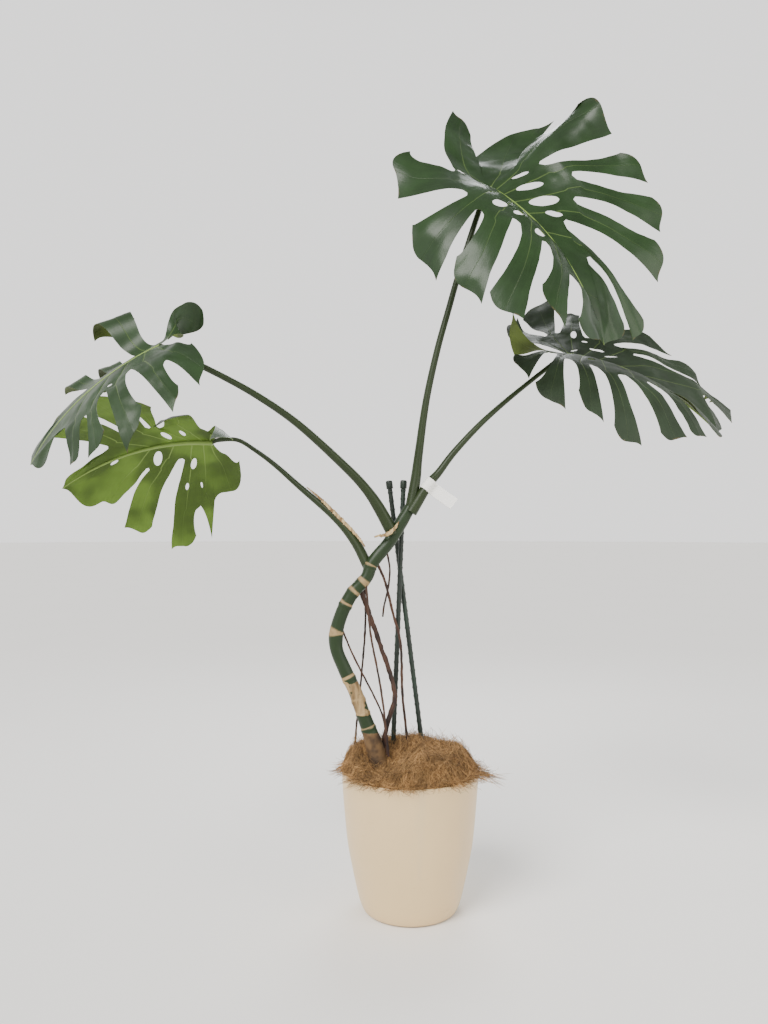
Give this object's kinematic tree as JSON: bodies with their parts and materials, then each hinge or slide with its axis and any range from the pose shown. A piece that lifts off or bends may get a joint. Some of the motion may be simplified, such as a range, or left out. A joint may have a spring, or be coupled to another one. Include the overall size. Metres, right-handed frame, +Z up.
{
  "type": "potted_monstera",
  "caption": "Potted monstera: a leaning green cane with split, holed leaves on long stalks, two stakes, coir mulch and an ivory plastic pot",
  "frame": {"origin": "centre of the pot's underside, on the pot's axis", "axes": "+Z up along the pot's axis; +X to the right as the plant is looked at along +Y, across the spread of its leaves; -Y to the front"},
  "size_m": [1.4918, 0.585, 1.7522],
  "materials": {
    "pot_plastic": "satin ivory, thin moulded wall",
    "leaf_blade": "glossy dark green, paler underneath",
    "green_stem": "satin green with papery scars",
    "aerial_root": "dull reddish brown",
    "dry_husk": "dry, papery",
    "coir": "loose coarse fibre",
    "potting_soil": "dark, crumbly",
    "stake_coating": "dark green coating with small nubs",
    "label_card": "matte white, blank"
  },
  "bodies": {
    "root": {"pot": "pot_plastic", "soil": "potting_soil", "coir_mulch": "coir", "cane": "green_stem", "stalk_top": "green_stem", "stalk_right": "green_stem", "stalk_upper_left": "green_stem", "stalk_lower_left": "green_stem", "blade_top": "leaf_blade", "blade_right": "leaf_blade", "blade_upper_left": "leaf_blade", "blade_lower_left": "leaf_blade", "aerial_root_1": "aerial_root", "aerial_root_2": "aerial_root", "aerial_root_3": "aerial_root", "aerial_root_4": "aerial_root", "aerial_root_5": "aerial_root", "aerial_root_6": "aerial_root", "stake_left": "stake_coating", "stake_right": "stake_coating", "stake_cap_left": "stake_coating", "stake_cap_right": "stake_coating", "husk_upper": "dry_husk", "husk_lower": "dry_husk", "label": "label_card"}
  },
  "joints": []
}
